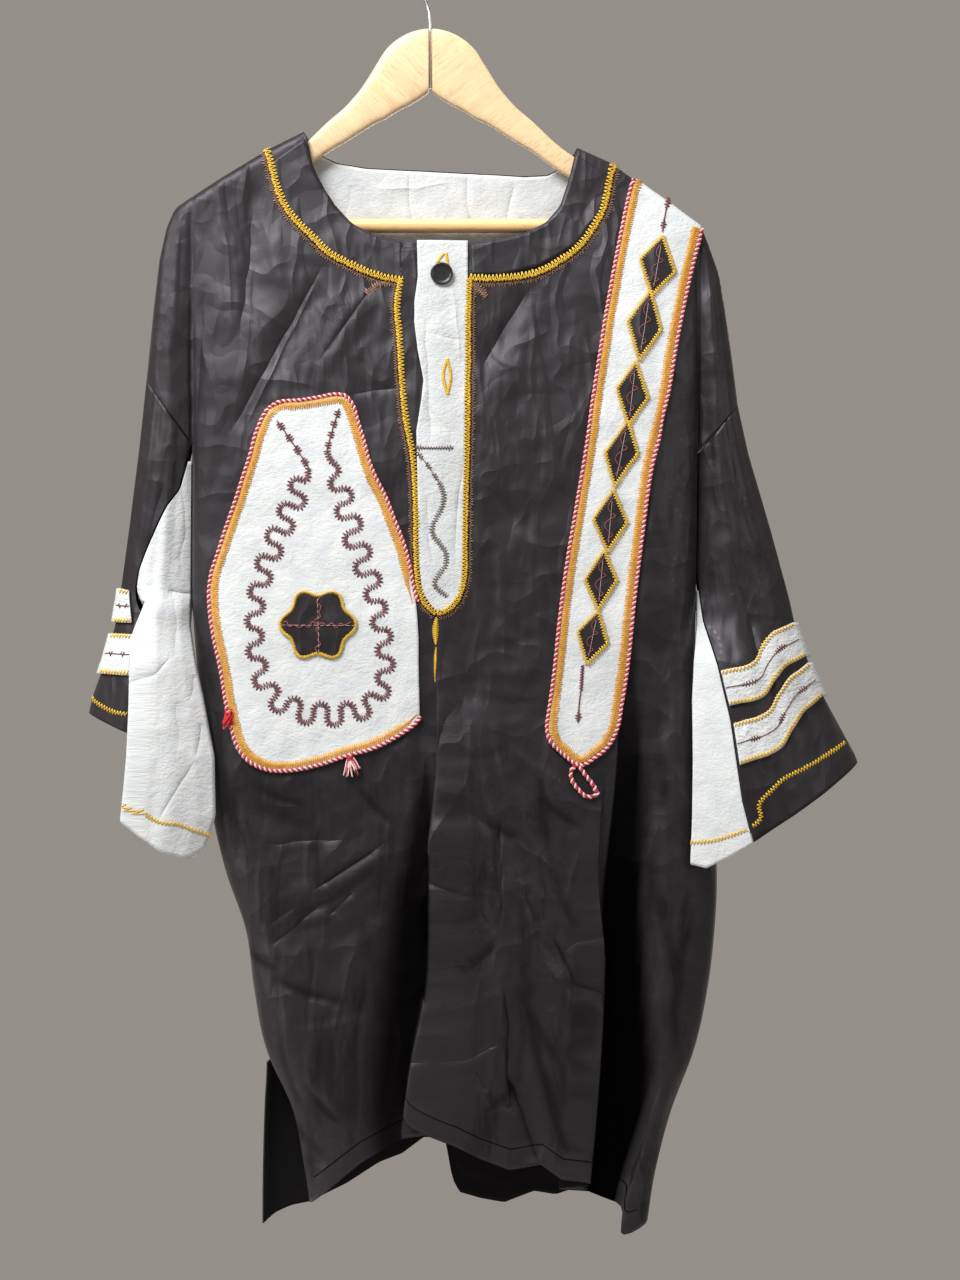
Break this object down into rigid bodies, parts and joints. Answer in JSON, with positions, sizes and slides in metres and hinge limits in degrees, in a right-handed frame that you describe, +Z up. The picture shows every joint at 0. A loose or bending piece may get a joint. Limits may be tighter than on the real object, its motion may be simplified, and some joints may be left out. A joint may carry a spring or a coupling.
{
  "type": "boubou tunic robe on a wooden clothes hanger",
  "caption": "Short wide-sleeved cloth boubou tunic with raised applique, hanging open-necked on a wooden hanger with a trouser bar.",
  "frame": {"origin": "inner top of the hanger's hook, where a rail carries it", "axes": "+Z up, -Y out of the garment's front, +X towards the wearer's left (the right of someone facing it)"},
  "size_m": [0.6565, 0.0974, 1.1082],
  "materials": {
    "black_damask": "polished cotton damask, soft sheen",
    "white_cotton": "matt crinkled cotton",
    "red_thread": "matt twisted yarn",
    "button_black": "polished",
    "hanger_wood": "satin varnish",
    "hook_steel": "bright drawn wire"
  },
  "bodies": {
    "root": {"back_neck_facing": "white_cotton", "back_panel": "black_damask", "button": "button_black", "chest_patch": "white_cotton", "front_panel": "black_damask", "gusset_left_back": "white_cotton", "gusset_left_front": "white_cotton", "gusset_right_back": "white_cotton", "gusset_right_front": "white_cotton", "hanger_arm_left": "hanger_wood", "hanger_arm_right": "hanger_wood", "hanger_bar": "hanger_wood", "hanger_hook": "hook_steel", "neckband_left": "black_damask", "neckband_right": "black_damask", "patch_flower": "black_damask", "patch_knot": "red_thread", "patch_tassel": "red_thread", "placket_overlap": "white_cotton", "placket_underlap": "black_damask", "shoulder_strip": "white_cotton", "sleeve_left": "black_damask", "sleeve_left_band_1": "white_cotton", "sleeve_left_band_2": "white_cotton", "sleeve_right": "black_damask", "sleeve_right_band_1": "white_cotton", "sleeve_right_band_2": "white_cotton", "strip_diamond_1": "black_damask", "strip_diamond_2": "black_damask", "strip_diamond_3": "black_damask", "strip_diamond_4": "black_damask", "strip_diamond_5": "black_damask", "strip_diamond_6": "black_damask", "strip_diamond_7": "black_damask", "strip_loop": "red_thread"}
  },
  "joints": []
}
